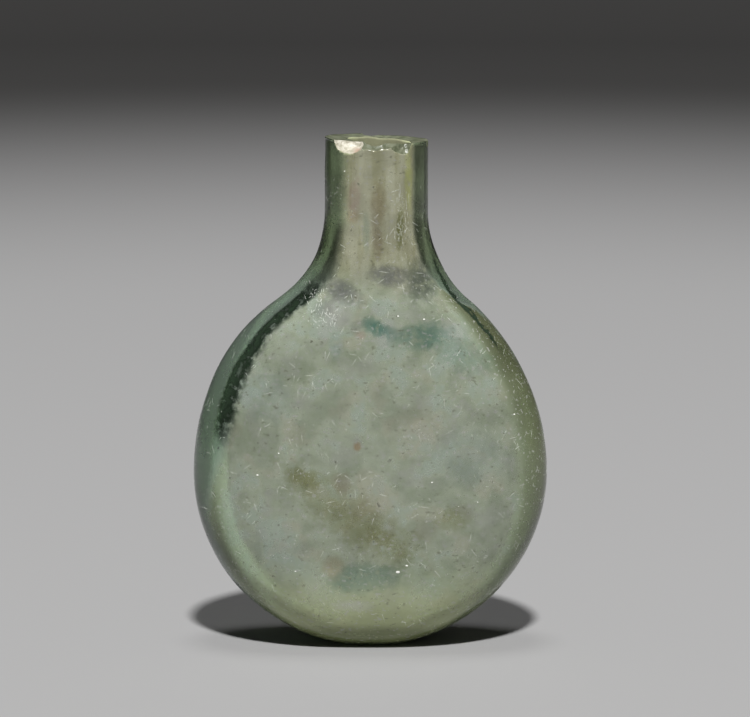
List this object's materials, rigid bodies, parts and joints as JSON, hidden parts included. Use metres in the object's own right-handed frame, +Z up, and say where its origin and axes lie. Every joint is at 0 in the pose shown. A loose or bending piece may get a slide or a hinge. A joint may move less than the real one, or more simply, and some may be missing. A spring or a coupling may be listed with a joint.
{
  "type": "pilgrim flask",
  "caption": "Small flattened round flask of thick weathered green glass with a short straight open neck and a chipped rim.",
  "frame": {"origin": "on the ground under the middle of the body", "axes": "+Z up through the neck, +X across the wide body towards the side that the neck leans to, -Y towards the front face and the large chip in the rim"},
  "size_m": [0.0488, 0.021, 0.07],
  "materials": {
    "glass": "pale green blown glass, see-through but milky with weathering, chipped at the rim"
  },
  "bodies": {
    "root": {"glass_flask": "glass"}
  },
  "joints": []
}
